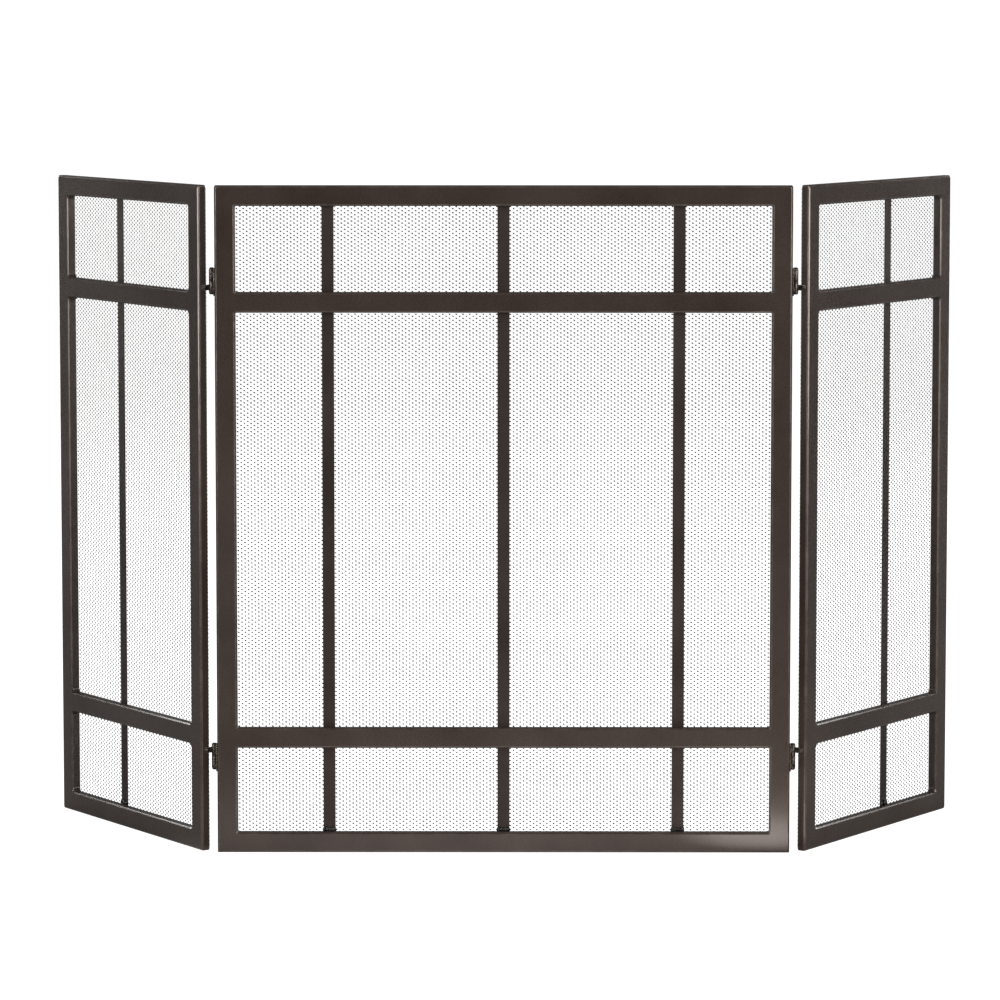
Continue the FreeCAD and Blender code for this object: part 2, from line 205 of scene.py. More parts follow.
# centre, radius and brightness of each pool of light, which fades out from 0.3 of its radius
POOLS = (((0.33, -0.29, 0), 0.14, 5.0), ((-0.05, -0.36, 0), 0.55, 0.75))
POOL_CORE = 0.3
floor_paint = bpy.data.materials.new("pale floor")
floor_paint.use_nodes = True
tree = floor_paint.node_tree
shader = tree.nodes["Principled BSDF"]
shader.inputs["Base Color"].default_value = (FLOOR_GREY, FLOOR_GREY, FLOOR_GREY, 1)
shader.inputs["Roughness"].default_value = 0.95
shader.inputs["Specular IOR Level"].default_value = 0.0
shader.inputs["Emission Color"].default_value = (1, 1, 1, 1)
spot = add(tree, "ShaderNodeTexCoord").outputs["Object"]
seen = add(tree, "ShaderNodeLightPath").outputs["Is Camera Ray"]
glow = maths(tree, "MULTIPLY", seen, LIGHT_TABLE)
for centre, radius, bright in POOLS:
    reach = add(tree, "ShaderNodeVectorMath", operation="DISTANCE", inputs={1: centre})
    pool = add(tree, "ShaderNodeMapRange", interpolation_type="SMOOTHSTEP")
    for key, value in (("From Min", radius), ("From Max", radius * POOL_CORE), ("To Max", bright)):
        pool.inputs[key].default_value = value
    join(tree, (spot, reach.inputs[0]), (reach.outputs["Value"], pool.inputs["Value"]))
    glow = maths(tree, "MAXIMUM", glow, pool.outputs[0])
tree.links.new(glow, shader.inputs["Emission Strength"])
floor_mesh.materials.append(floor_paint)
print(floor_paint.name, "with", len(POOLS), "pools of light")

# %% Set the room's own light
ROOM_LIGHT = 0.15
room = bpy.data.worlds.new("studio")
room.use_nodes = True
bpy.context.scene.world = room
tree = room.node_tree
backdrop = tree.nodes["Background"]
backdrop.inputs["Color"].default_value = (1.0, 1.0, 1.0, 1)
seen = add(tree, "ShaderNodeLightPath").outputs["Is Camera Ray"]
tree.links.new(maths(tree, "MAXIMUM", seen, ROOM_LIGHT), backdrop.inputs["Strength"])
print(room.name, "lights the steel with", ROOM_LIGHT)

# %% Hang the soft lights
AIM = (0, 0, 0.4)
# place, width, height and watts
SOFT_LIGHTS = {
    "left soft box": ((-2.4, -3.6, 1.4), 0.7, 2.4, 96),
    "right soft box": ((2.4, -3.6, 1.4), 0.7, 2.4, 96),
    "left side board": ((-4.4, -1.9, 1.1), 1.4, 2.0, 34),
    "right side board": ((4.4, -1.9, 1.1), 1.4, 2.0, 62),
    "left back light": ((-3.4, 3.6, 1.2), 1.6, 2.4, 80),
    "right back light": ((3.4, 3.6, 1.2), 1.6, 2.4, 80),
    "top light": ((0, 0.4, 3.2), 3.0, 1.2, 10),
}
for name, (place, wide, tall, watts) in SOFT_LIGHTS.items():
    data = bpy.data.lights.new(name, "AREA")
    data.shape, data.size, data.size_y, data.energy = "RECTANGLE", wide, tall, watts
    lamp = bpy.data.objects.new(name, data)
    lamp.location = place
    lamp.rotation_euler = (Vector(AIM) - Vector(place)).to_track_quat("-Z", "Y").to_euler()
    bpy.context.scene.collection.objects.link(lamp)
bpy.context.scene.view_settings.view_transform = "Standard"
bpy.context.scene.view_settings.look = "None"
print("lights:", list(SOFT_LIGHTS))

# %% [markdown]
# ## Effects that several finishes share
# The frame, the bars, the sheet and the hinges are all coated steel, so they share two effects.
# *Coat grain* is the fine orange peel of baked powder, with slow drifts in tone. *Edge rub* turns
# the painted edge mark of a piece into the broken light line where hands and tools touch it.


# %% A helper for shader groups
def new_group(name, inputs, outputs):
    """A shader group with one float input for each (name, default) and one float output for each name."""
    group = bpy.data.node_groups.new(name, "ShaderNodeTree")
    for label, value in inputs:
        socket = group.interface.new_socket(name=label, in_out="INPUT", socket_type="NodeSocketFloat")
        socket.default_value = value
    for label in outputs:
        group.interface.new_socket(name=label, in_out="OUTPUT", socket_type="NodeSocketFloat")
    return group


# %% Build the coat grain group
coat_grain = new_group(
    "coat grain",
    (("Grain Size", 900.0), ("Grain Depth", 0.5), ("Drift Size", 9.0), ("Drift", 0.5)),
    ("Height", "Tone", "Speckle"),
)
entry = add(coat_grain, "NodeGroupInput")
leave = add(coat_grain, "NodeGroupOutput")
where = add(coat_grain, "ShaderNodeTexCoord")
peel = add(coat_grain, "ShaderNodeTexNoise", inputs={"Detail": 3.0, "Roughness": 0.6})
cells = add(coat_grain, "ShaderNodeTexVoronoi", feature="SMOOTH_F1")
drift = add(coat_grain, "ShaderNodeTexNoise", inputs={"Detail": 5.0, "Roughness": 0.62})
blend = add(coat_grain, "ShaderNodeMath", operation="MULTIPLY_ADD", inputs={1: 0.6})
deep = add(coat_grain, "ShaderNodeMath", operation="MULTIPLY")
spread = add(coat_grain, "ShaderNodeMapRange", inputs={"From Min": 0.3, "From Max": 0.7})
centre = add(coat_grain, "ShaderNodeMath", operation="SUBTRACT", inputs={1: 0.5})
tone = add(coat_grain, "ShaderNodeMath", operation="MULTIPLY")
lift = add(coat_grain, "ShaderNodeMath", operation="ADD", inputs={1: 0.5})
speck = add(coat_grain, "ShaderNodeMapRange", inputs={"From Min": 0.35, "From Max": 0.75})
join(
    coat_grain,
    (where.outputs["Object"], peel.inputs["Vector"]),
    (where.outputs["Object"], cells.inputs["Vector"]),
    (where.outputs["Object"], drift.inputs["Vector"]),
    (entry.outputs["Grain Size"], peel.inputs["Scale"]),
    (entry.outputs["Grain Size"], cells.inputs["Scale"]),
    (entry.outputs["Drift Size"], drift.inputs["Scale"]),
    (cells.outputs["Distance"], blend.inputs[0]),
    (peel.outputs["Fac"], blend.inputs[2]),
    (blend.outputs[0], deep.inputs[0]),
    (entry.outputs["Grain Depth"], deep.inputs[1]),
    (drift.outputs["Fac"], spread.inputs["Value"]),
    (spread.outputs[0], centre.inputs[0]),
    (centre.outputs[0], tone.inputs[0]),
    (entry.outputs["Drift"], tone.inputs[1]),
    (tone.outputs[0], lift.inputs[0]),
    (peel.outputs["Fac"], speck.inputs["Value"]),
    (deep.outputs[0], leave.inputs["Height"]),
    (lift.outputs[0], leave.inputs["Tone"]),
    (speck.outputs[0], leave.inputs["Speckle"]),
)
print(coat_grain.name, "has", len(coat_grain.nodes), "nodes")

# %% Build the edge rub group
edge_rub = new_group("edge rub", (("Amount", 0.5), ("Patch Size", 40.0)), ("Mask",))
entry = add(edge_rub, "NodeGroupInput")
leave = add(edge_rub, "NodeGroupOutput")
mark = add(edge_rub, "ShaderNodeAttribute", attribute_name="edge")
where = add(edge_rub, "ShaderNodeTexCoord")
patch = add(edge_rub, "ShaderNodeTexNoise", inputs={"Detail": 6.0, "Roughness": 0.7})
broken = add(edge_rub, "ShaderNodeMapRange", inputs={"From Min": 0.38, "From Max": 0.66})
touch = add(edge_rub, "ShaderNodeMath", operation="MULTIPLY")
strength = add(edge_rub, "ShaderNodeMath", operation="MULTIPLY", use_clamp=True)
join(
    edge_rub,
    (where.outputs["Object"], patch.inputs["Vector"]),
    (entry.outputs["Patch Size"], patch.inputs["Scale"]),
    (patch.outputs["Fac"], broken.inputs["Value"]),
    (mark.outputs["Fac"], touch.inputs[0]),
    (broken.outputs[0], touch.inputs[1]),
    (touch.outputs[0], strength.inputs[0]),
    (entry.outputs["Amount"], strength.inputs[1]),
    (strength.outputs[0], leave.inputs["Mask"]),
)
print(edge_rub.name, "has", len(edge_rub.nodes), "nodes")

# %% [markdown]
# ## Finishes
# Every steel part wears the same kind of finish with its own values: a dark and a light tone that
# drift into each other, a rubbed colour on the edges, a roughness that follows the grain, and a
# bump from the orange peel. One function makes them, so each finish is a short line of values.


# %% The coated steel finish
LACQUER_ROUGH = 0.14
GRAIN_RELIEF = 0.4 * MM


def coated_steel(
    name, dark, light, rubbed, rough, grain, drift_values, bump, rub, metal=0.0, gloss=0.4, lacquer=0.0
):
    """grain and drift_values are (size, amount); rough runs from the smoothest to the roughest speckle."""
    paint = bpy.data.materials.new(name)
    paint.use_nodes = True
    tree = paint.node_tree
    shader = tree.nodes["Principled BSDF"]
    shader.inputs["Metallic"].default_value = metal
    shader.inputs["Specular IOR Level"].default_value = gloss
    shader.inputs["Coat Weight"].default_value = lacquer
    shader.inputs["Coat Roughness"].default_value = LACQUER_ROUGH
    texture = add(tree, "ShaderNodeGroup", node_tree=coat_grain)
    for label, value in zip(("Grain Size", "Grain Depth", "Drift Size", "Drift"), (*grain, *drift_values)):
        texture.inputs[label].default_value = value
    wear = add(tree, "ShaderNodeGroup", node_tree=edge_rub)
    wear.inputs["Amount"].default_value = rub
    shade = add(tree, "ShaderNodeMix", data_type="RGBA")
    shade.inputs["A"].default_value, shade.inputs["B"].default_value = (*dark, 1), (*light, 1)
    worn = add(tree, "ShaderNodeMix", data_type="RGBA")
    worn.inputs["B"].default_value = (*rubbed, 1)
    sheen = add(tree, "ShaderNodeMapRange", inputs={"To Min": rough[0], "To Max": rough[1]})
    relief = add(tree, "ShaderNodeBump", inputs={"Strength": bump, "Distance": GRAIN_RELIEF})
    join(
        tree,
        (texture.outputs["Tone"], shade.inputs["Factor"]),
        (shade.outputs["Result"], worn.inputs["A"]),
        (wear.outputs["Mask"], worn.inputs["Factor"]),
        (worn.outputs["Result"], shader.inputs["Base Color"]),
        (texture.outputs["Speckle"], sheen.inputs["Value"]),
        (sheen.outputs[0], shader.inputs["Roughness"]),
        (texture.outputs["Height"], relief.inputs["Height"]),
        (relief.outputs[0], shader.inputs["Normal"]),
    )
    return paint


# %% Mix the finishes
frame_coat = coated_steel(
    "satin bronze coat",
    dark=(0.037, 0.0245, 0.0195),
    light=(0.057, 0.0405, 0.033),
    rubbed=(0.20, 0.165, 0.135),
    rough=(0.22, 0.33),
    grain=(1500.0, 0.6),
    drift_values=(6.0, 1.4),
    bump=0.12,
    rub=0.5,
    metal=0.35,
    gloss=0.3,
    lacquer=0.45,
)
bar_coat = coated_steel(
    "flat bar coat",
    dark=(0.022, 0.0145, 0.0115),
    light=(0.038, 0.027, 0.0225),
    rubbed=(0.14, 0.115, 0.095),
    rough=(0.40, 0.52),
    grain=(1500.0, 0.6),
    drift_values=(10.0, 1.2),
    bump=0.12,
    rub=0.4,
    metal=0.3,
    gloss=0.25,
)
sheet_coat = coated_steel(
    "expanded sheet coat",
    dark=(0.012, 0.009, 0.009),
    light=(0.028, 0.022, 0.022),
    rubbed=(0.12, 0.11, 0.10),
    rough=(0.6, 0.8),
    grain=(2500.0, 0.5),
    drift_values=(60.0, 1.0),
    bump=0.15,
    rub=0.0,
    gloss=0.12,
)
hinge_iron = coated_steel(
    "cast hinge iron",
    dark=(0.010, 0.0075, 0.006),
    light=(0.085, 0.066, 0.055),
    rubbed=(0.26, 0.215, 0.18),
    rough=(0.16, 0.42),
    grain=(700.0, 1.0),
    drift_values=(230.0, 2.2),
    bump=1.0,
    rub=0.35,
    metal=0.92,
)
screw_zinc = coated_steel(
    "blackened screw",
    dark=(0.030, 0.025, 0.021),
    light=(0.085, 0.072, 0.062),
    rubbed=(0.35, 0.31, 0.27),
    rough=(0.22, 0.4),
    grain=(1800.0, 0.5),
    drift_values=(300.0, 1.2),
    bump=0.25,
    rub=0.7,
    metal=0.7,
)
# The beads are near-black, far darker than the coat on the bars and rails, so each bar's foot shows as a
# dark patch.
weld_metal = coated_steel(
    "near-black weld",
    dark=(0.003, 0.0025, 0.002),
    light=(0.012, 0.009, 0.008),
    rubbed=(0.20, 0.17, 0.15),
    rough=(0.06, 0.22),
    grain=(900.0, 1.0),
    drift_values=(400.0, 1.4),
    bump=0.6,
    rub=0.0,
    metal=0.3,
)
FINISHES = (frame_coat, bar_coat, sheet_coat, hinge_iron, screw_zinc, weld_metal)
print("finishes:", [finish.name for finish in FINISHES])

# %% [markdown]
# ## Tubes
# A rolled tube is never sharp: its corner is a narrow flat with a tight roll on each side, and each
# roll catches its own line of light. The section is drawn once as points, and each length is swept
# ring by ring. Near a corner of the panel the ring follows the rounded outside and the weld fillet
# inside, up to the mitre. A mark on the rolls tells the finish where edges are, and an extra point
# close beside each corner keeps the wide faces flat in the light. Sheared strip has plain round
# corners, so it gets a simpler section.

# %% Draw a section with round corners
def rolled_section(wide, deep, roll, steps, beside):
    """Points (across, depth, edge mark) round a rectangle with rolled corners, seen from one end."""
    points = []
    right, back = wide - roll, deep - roll
    corners = [(roll, roll, 180), (right, roll, 270), (right, back, 0), (roll, back, 90)]
    for x, y, start in corners:
        turns = [math.radians(start + 90 * k / steps) for k in range(steps + 1)]
        arc = [(x + roll * math.cos(t), y + roll * math.sin(t)) for t in turns]
        before = (arc[0][0] + beside * math.sin(turns[0]), arc[0][1] - beside * math.cos(turns[0]))
        after = (arc[-1][0] - beside * math.sin(turns[-1]), arc[-1][1] + beside * math.cos(turns[-1]))
        points.append((*before, 0.0))
        points += [(*point, math.sin(math.pi * k / steps)) for k, point in enumerate(arc)]
        points.append((*after, 0.0))
    return points


# %% Draw the tube section
ROLL = 2.5 * MM
BESIDE = 0.35 * MM
EASE = 1.2 * MM
EASE_STEPS = 3
ROLL_END_MARK = 0.35


def eased_section(wide, deep, roll, ease, steps, beside):
    """As a rolled section, but each corner is a narrow flat with a tight roll at both its ends."""
    points = []
    corners = [(0, 0, 180), (wide, 0, 270), (wide, deep, 0), (0, deep, 90)]
    for x, y, start in corners:
        inward_x, inward_y = (1 if x == 0 else -1), (1 if y == 0 else -1)
        # the middles of the tight rolls: one by the upright face, one by the flat face
        by_side = (x + inward_x * ease, y + inward_y * roll)
        by_face = (x + inward_x * roll, y + inward_y * ease)
        middles = (by_side, by_face) if start in (0, 180) else (by_face, by_side)
        arc = []
        for (mid_x, mid_y), first in zip(middles, (start, start + 45)):
            for k in range(steps + 1):
                turn = math.radians(first + 45 * k / steps)
                mark = math.sin(math.pi * k / steps) if 0 < k < steps else ROLL_END_MARK
                arc.append((mid_x + ease * math.cos(turn), mid_y + ease * math.sin(turn), mark))
        first, last = math.radians(start), math.radians(start + 90)
        before = (arc[0][0] + beside * math.sin(first), arc[0][1] - beside * math.cos(first), 0.0)
        after = (arc[-1][0] - beside * math.sin(last), arc[-1][1] + beside * math.cos(last), 0.0)
        points += [before, *arc, after]
    return points


tube_section = eased_section(FACE, DEPTH, ROLL, EASE, EASE_STEPS, BESIDE)
print("tube section has", len(tube_section), "points")


# %% Sweep a section through its rings
def swept(name, rings, place, paint):
    """A closed piece from rings of (point, edge mark), stood in its panel's place."""
    size = len(rings[0])
    shape = bmesh.new()
    mark = shape.verts.layers.float.new("edge")
    rows = []
    for ring in rings:
        row = []
        for point, edge in ring:
            vert = shape.verts.new(place @ Vector(point))
            vert[mark] = edge
            row.append(vert)
        rows.append(row)
    for a, b in zip(rows, rows[1:]):
        for k in range(size):
            shape.faces.new((a[k], a[(k + 1) % size], b[(k + 1) % size], b[k]))
    shape.faces.new(rows[0])
    shape.faces.new(list(reversed(rows[-1])))
    bmesh.ops.recalc_face_normals(shape, faces=shape.faces)
    return finished(name, shape, paint)


def mesh_from(name, shape):
    mesh = bpy.data.meshes.new(name)
    shape.to_mesh(mesh)
    shape.free()
    return mesh


def shade(mesh, crease):
    """Shades a mesh smooth, except at edges that turn by more than the crease angle in degrees."""
    for face in mesh.polygons:
        face.use_smooth = True
    mesh.set_sharp_from_angle(angle=math.radians(crease))


def stood(name, mesh):
    piece = bpy.data.objects.new(name, mesh)
    bpy.context.scene.collection.objects.link(piece)
    return piece


def finished(name, shape, paint, crease=40):
    mesh = mesh_from(name, shape)
    shade(mesh, crease)
    mesh.materials.append(paint)
    return stood(name, mesh)


# %% Sweep the four mitred tubes of a panel
MITRE_STEPS = 4
MITRE_MARK = 0.12


def mitred_tube(name, panel, start, along, inward, length, outside, inside):
    """One side of the frame, from the panel's corner at start. outside gives its (first, last) radii."""
    start, along, inward = Vector(start), Vector(along), Vector(inward)
    turns = [math.radians(45 + 45 * k / MITRE_STEPS) for k in range(MITRE_STEPS + 1)]

    def ring(turn, end):
        points = []
        for across, depth, edge in tube_section:
            share = across / FACE
            radius = outside[end] * (1 - share) + inside * share
            run = across + radius - radius * math.cos(turn)
            step_in = across + radius - radius * math.sin(turn)
            if end:
                run = length - run
            at_mitre = MITRE_MARK if turn == turns[0] else 0.0
            point = start + along * run + inward * step_in + Vector((0, depth, 0))
            points.append((point, max(edge, at_mitre)))
        return points

    rings = [ring(t, 0) for t in turns] + [ring(t, 1) for t in reversed(turns)]
    return swept(name, rings, panel["place"], frame_coat)


def dress(piece, body, slot, *nodes):
    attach(piece, body)
    if nodes:
        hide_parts(*nodes)
    return piece


# %% Build the outer frames
TOP_ROUND, FOOT_ROUND = 2.2 * MM, 1.2 * MM
INNER_WELD = {"centre": 2.0 * MM, "left": 5.5 * MM, "right": 5.5 * MM}
STILES = {
    "centre": ("left_stile", "right_stile"),
    "left": ("outer_stile", "hinge_stile"),
    "right": ("hinge_stile", "outer_stile"),
}
for name, panel in PANELS.items():
    u0, u1 = panel["span"]
    wide = u1 - u0
    sides = (
        ("bottom_rail", (u0, 0, 0), (1, 0, 0), (0, 0, 1), wide, (FOOT_ROUND, FOOT_ROUND)),
        (STILES[name][1], (u1, 0, 0), (0, 0, 1), (-1, 0, 0), HEIGHT, (FOOT_ROUND, TOP_ROUND)),
        ("top_rail", (u1, 0, HEIGHT), (-1, 0, 0), (0, 0, -1), wide, (TOP_ROUND, TOP_ROUND)),
        (STILES[name][0], (u0, 0, HEIGHT), (0, 0, -1), (1, 0, 0), HEIGHT, (TOP_ROUND, FOOT_ROUND)),
    )
    for side, start, along, inward, length, rounds in sides:
        node = f"{name}_{side}"
        tube = mitred_tube(f"{node}_tube", panel, start, along, inward, length, rounds, INNER_WELD[name])
        dress(tube, panel["body"], "frame_paint", node)
    print(name, "frame:", [side[0] for side in sides])

# %% [markdown]
# ## Cross rails
# Two rails cross each panel. Their ends are welded to the stiles, so each rail is drawn with its
# top and bottom flaring into a small fillet where it meets them. It stops where the stile's face
# becomes flat, so that the two faces run into each other without a step.

# %% Build the cross rails
FLARE_STEPS = 5
RAIL_WELD = {"centre": 1.6 * MM, "left": 4.0 * MM, "right": 4.0 * MM}


def cross_rail(node, panel, weld):
    low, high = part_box(node)
    u0, u1 = panel["span"][0] + FACE, panel["span"][1] - FACE
    middle = (low.z + high.z) / 2
    steps = [(-ROLL, weld)]
    for k in range(FLARE_STEPS + 1):
        turn = math.radians(90 * k / FLARE_STEPS)
        steps.append((weld - weld * math.cos(turn), weld - weld * math.sin(turn)))
    rings = []
    for end in (0, 1):
        for gap, flare in steps if end == 0 else reversed(steps):
            u = u0 + gap if end == 0 else u1 - gap
            mark = MITRE_MARK if gap < 0 else 0.0
            ring = []
            for across, depth, edge in tube_section:
                rise = across - FACE / 2
                ring.append(((u, depth, middle + rise + math.copysign(flare, rise)), max(edge, mark)))
            rings.append(ring)
    return swept(f"{node}_tube", rings, panel["place"], frame_coat)


for name, panel in PANELS.items():
    for level in ("upper", "lower"):
        node = f"{name}_{level}_cross_rail"
        rail = cross_rail(node, panel, RAIL_WELD[name])
        dress(rail, panel["body"], "frame_paint", node)
        print(rail.name, len(rail.data.polygons), "faces")

# %% [markdown]
# ## Flat bars and borders
# The bars are sheared from flat strip, so their long edges are a little rounded and rub light.
# They lie behind the tubes. The border strips that frame the sheet have the right shape in the
# CAD model already, with their screw holes, and only need the finish.

# %% Build the bars
BAR_ROLL, BAR_BESIDE = 0.45 * MM, 0.2 * MM
BAR_ROLL_STEPS, BAR_RINGS = 3, 41
STRIP_THICK = border_high.y - border_low.y
bar_section = rolled_section(STRIP, STRIP_THICK, BAR_ROLL, BAR_ROLL_STEPS, BAR_BESIDE)


def bar(node, panel, centre_u):
    low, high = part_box(node)
    rings = []
    for k in range(BAR_RINGS):
        z = low.z + (high.z - low.z) * k / (BAR_RINGS - 1)
        ring = []
        for across, depth, edge in bar_section:
            ring.append(((centre_u - STRIP / 2 + across, STRIP_FRONT + depth, z), edge))
        rings.append(ring)
    return swept(f"{node}_strip", rings, panel["place"], bar_coat)


BARS = {}
for name, panel in PANELS.items():
    turned_back = panel["place"].inverted()
    nodes = [n for n in frame["nodes"] if n.startswith(name) and n.endswith("bar")]
    for node in sorted(nodes):
        low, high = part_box(node)
        centre_u = (turned_back @ ((low + high) / 2)).x
        BARS[node] = centre_u
        dress(bar(node, panel, centre_u), panel["body"], "strips", node)
print("bars at", {k: round(v / MM, 1) for k, v in BARS.items()})

# %% Coat the border strips
borders = [node for name, node in frame["nodes"].items() if name.endswith("_border")]
for node in borders:
    node.data.materials.clear()
    node.data.materials.append(bar_coat)
print(len(borders), "border strips coated")

# %% [markdown]
# ## Expanded metal
# Expanded metal is slit and stretched, which leaves long diamonds: bonds where the metal is whole,
# and two strands that run from each bond to the next row. It repeats tens of thousands of times,
# so Geometry Nodes make it. A grid gives the places, every second one keeps a bond, and each strand
# is one small prism laid from bond to bond. The slit leaves one strand heavier than the other, and
# a sheet can be hung either way round, so each panel has its own strand widths further down.


# %% Helpers for Geometry Nodes
def new_tree(name, inputs):
    """A tree with one output and named inputs, given as (name, socket kind, default)."""
    tree = bpy.data.node_groups.new(name, "GeometryNodeTree")
    tree.interface.new_socket(name="Geometry", in_out="INPUT", socket_type="NodeSocketGeometry")
    for label, kind, default in inputs:
        socket = tree.interface.new_socket(name=label, in_out="INPUT", socket_type=kind)
        if default is not None:
            socket.default_value = default
    tree.interface.new_socket(name="Geometry", in_out="OUTPUT", socket_type="NodeSocketGeometry")
    return tree


def vector(tree, *values):
    return fed(tree, add(tree, "ShaderNodeCombineXYZ"), *values)


def grown(name, tree, values, start_mesh=None):
    """Runs a tree on a new object and gives back the result as a plain mesh."""
    host = bpy.data.objects.new(name, start_mesh or bpy.data.meshes.new(name))
    bpy.context.scene.collection.objects.link(host)
    modifier = host.modifiers.new("grow", "NODES")
    modifier.node_group = tree
    for item in tree.interface.items_tree:
        if item.item_type == "SOCKET" and item.in_out == "INPUT" and item.name in values:
            modifier[item.identifier] = values[item.name]
    bpy.context.view_layer.update()
    shown = host.evaluated_get(bpy.context.evaluated_depsgraph_get())
    mesh = bpy.data.meshes.new_from_object(shown)
    bpy.data.objects.remove(host)
    return mesh


# %% Build the expanded metal tree
F, I = "NodeSocketFloat", "NodeSocketInt"
sheet_tree = new_tree(
    "expanded metal",
    [
        ("Columns", I, 10),
        ("Rows", I, 10),
        ("Closing Row", I, 0),
        ("Half Long Way", F, 4.15 * MM),
        ("Half Short Way", F, 2.56 * MM),
        ("Bond Length", F, 2.75 * MM),
        ("Bond Height", F, 2.35 * MM),
        ("Bond Thickness", F, 0.8 * MM),
        ("Bond Tilt", F, -0.5),
        ("Falling Strand", F, 0.17 * MM),
        ("Rising Strand", F, 0.08 * MM),
        ("Strand Thickness", F, 0.2 * MM),
        ("Unevenness", F, 0.15),
        ("Seed", I, 3),
        ("Finish", "NodeSocketMaterial", None),
    ],
)
t = sheet_tree
entry, leave = add(t, "NodeGroupInput"), add(t, "NodeGroupOutput")
size = entry.outputs
grid = add(t, "GeometryNodeMeshGrid")
join(
    t,
    (maths(t, "MULTIPLY", size["Columns"], size["Half Long Way"]), grid.inputs["Size X"]),
    (maths(t, "MULTIPLY", size["Rows"], size["Half Short Way"]), grid.inputs["Size Y"]),
    (maths(t, "ADD", size["Columns"], 1), grid.inputs["Vertices X"]),
    (maths(t, "ADD", size["Rows"], 1), grid.inputs["Vertices Y"]),
)
place = add(t, "ShaderNodeSeparateXYZ")
t.links.new(add(t, "GeometryNodeInputPosition").outputs[0], place.inputs[0])


def grid_number(along, step, count):
    """The column or row that a grid point stands in, from its place and the step between points."""
    from_middle = maths(t, "DIVIDE", along, step)
    return maths(t, "ROUND", maths(t, "ADD", from_middle, maths(t, "DIVIDE", count, 2)))


column = grid_number(place.outputs[0], size["Half Long Way"], size["Columns"])
row = grid_number(place.outputs[1], size["Half Short Way"], size["Rows"])
odd = maths(t, "MODULO", maths(t, "ADD", column, row), 2)
even = maths(t, "LESS_THAN", odd, 0.5)
before_last = maths(t, "LESS_THAN", column, maths(t, "SUBTRACT", size["Columns"], 0.5))
below_top = maths(t, "LESS_THAN", row, maths(t, "SUBTRACT", size["Rows"], 0.5))
above_foot = maths(t, "GREATER_THAN", row, 0.5)
has_bond = maths(t, "MULTIPLY", even, maths(t, "MAXIMUM", below_top, size["Closing Row"]))
falls = maths(t, "MULTIPLY", even, maths(t, "MULTIPLY", before_last, above_foot))
rises = maths(t, "MULTIPLY", even, maths(t, "MULTIPLY", before_last, below_top))
slope = maths(t, "ARCTAN2", size["Half Short Way"], size["Half Long Way"])
rise = maths(t, "POWER", size["Half Short Way"], 2)
run = maths(t, "POWER", size["Half Long Way"], 2)
reach = maths(t, "SQRT", maths(t, "ADD", rise, run))
uneven = add(t, "FunctionNodeRandomValue", data_type="FLOAT")
join(
    t,
    (maths(t, "SUBTRACT", 1, size["Unevenness"]), uneven.inputs[2]),
    (maths(t, "ADD", 1, size["Unevenness"]), uneven.inputs[3]),
    (size["Seed"], uneven.inputs["Seed"]),
)
factor = uneven.outputs[1]
prism_size = {"Vertices": 3, "Radius": 0.5, "Depth": 1.0}
prism = add(t, "GeometryNodeMeshCylinder", fill_type="NGON", inputs=prism_size)
shifted = add(t, "GeometryNodeTransform", inputs={"Translation": (0, 0, 0.5)})
t.links.new(prism.outputs["Mesh"], shifted.inputs["Geometry"])
lozenge = add(t, "GeometryNodeMeshUVSphere", inputs={"Segments": 4, "Rings": 2, "Radius": 0.5})
pieces = add(t, "GeometryNodeJoinGeometry")



def set_copies(selection, shape, rotation, scale):
    """Sets a scaled copy of a shape on each selected point, and adds the copies to the sheet."""
    copies = add(t, "GeometryNodeInstanceOnPoints")
    join(
        t,
        (grid.outputs["Mesh"], copies.inputs["Points"]),
        (selection, copies.inputs["Selection"]),
        (shape, copies.inputs["Instance"]),
        (vector(t, *rotation), copies.inputs["Rotation"]),
        (vector(t, *scale), copies.inputs["Scale"]),
        (copies.outputs[0], pieces.inputs[0]),
    )


bond_long = maths(t, "MULTIPLY", size["Bond Length"], factor)
bond_scale = (bond_long, size["Bond Height"], size["Bond Thickness"])
set_copies(has_bond, lozenge.outputs["Mesh"], (0, 0, size["Bond Tilt"]), bond_scale)
for selection, turn, width in (
    (falls, maths(t, "MULTIPLY", slope, -1), size["Falling Strand"]),
    (rises, slope, size["Rising Strand"]),
):
    strand_scale = (size["Strand Thickness"], maths(t, "MULTIPLY", width, factor), reach)
    set_copies(selection, shifted.outputs[0], (0, math.pi / 2, turn), strand_scale)
real = add(t, "GeometryNodeRealizeInstances")
coat = add(t, "GeometryNodeSetMaterial")
join(
    t,
    (pieces.outputs[0], real.inputs[0]),
    (real.outputs[0], coat.inputs["Geometry"]),
    (size["Finish"], coat.inputs["Material"]),
    (coat.outputs[0], leave.inputs[0]),
)
print(sheet_tree.name, "has", len(t.nodes), "nodes")

# %% [markdown]
# The sheet is made in bands, so that no piece grows past two hundred thousand triangles. A band is
# drawn lying down, stood up behind the bars, and turned into its panel's place. It also gets a flat
# map of its own, because a cut-up map of so many strands would take an age to lay out.

# %% Lay the sheets
LONG_WAY, SHORT_WAY = 8.3 * MM, 5.13 * MM
MARGIN = 0.9 * MM
MAP_SHARE = 0.98
BANDS = {"centre": 4, "left": 2, "right": 2}
SIDE_BOND = {"Bond Length": 3.3 * MM, "Bond Height": 2.8 * MM}
STRANDS = {
    "centre": {"Falling Strand": 0.20 * MM, "Rising Strand": 0.06 * MM},
    "left": {"Falling Strand": 0.16 * MM, "Rising Strand": 0.03 * MM, **SIDE_BOND},
    "right": {"Falling Strand": 0.03 * MM, "Rising Strand": 0.16 * MM, "Bond Tilt": 0.0, **SIDE_BOND},
}


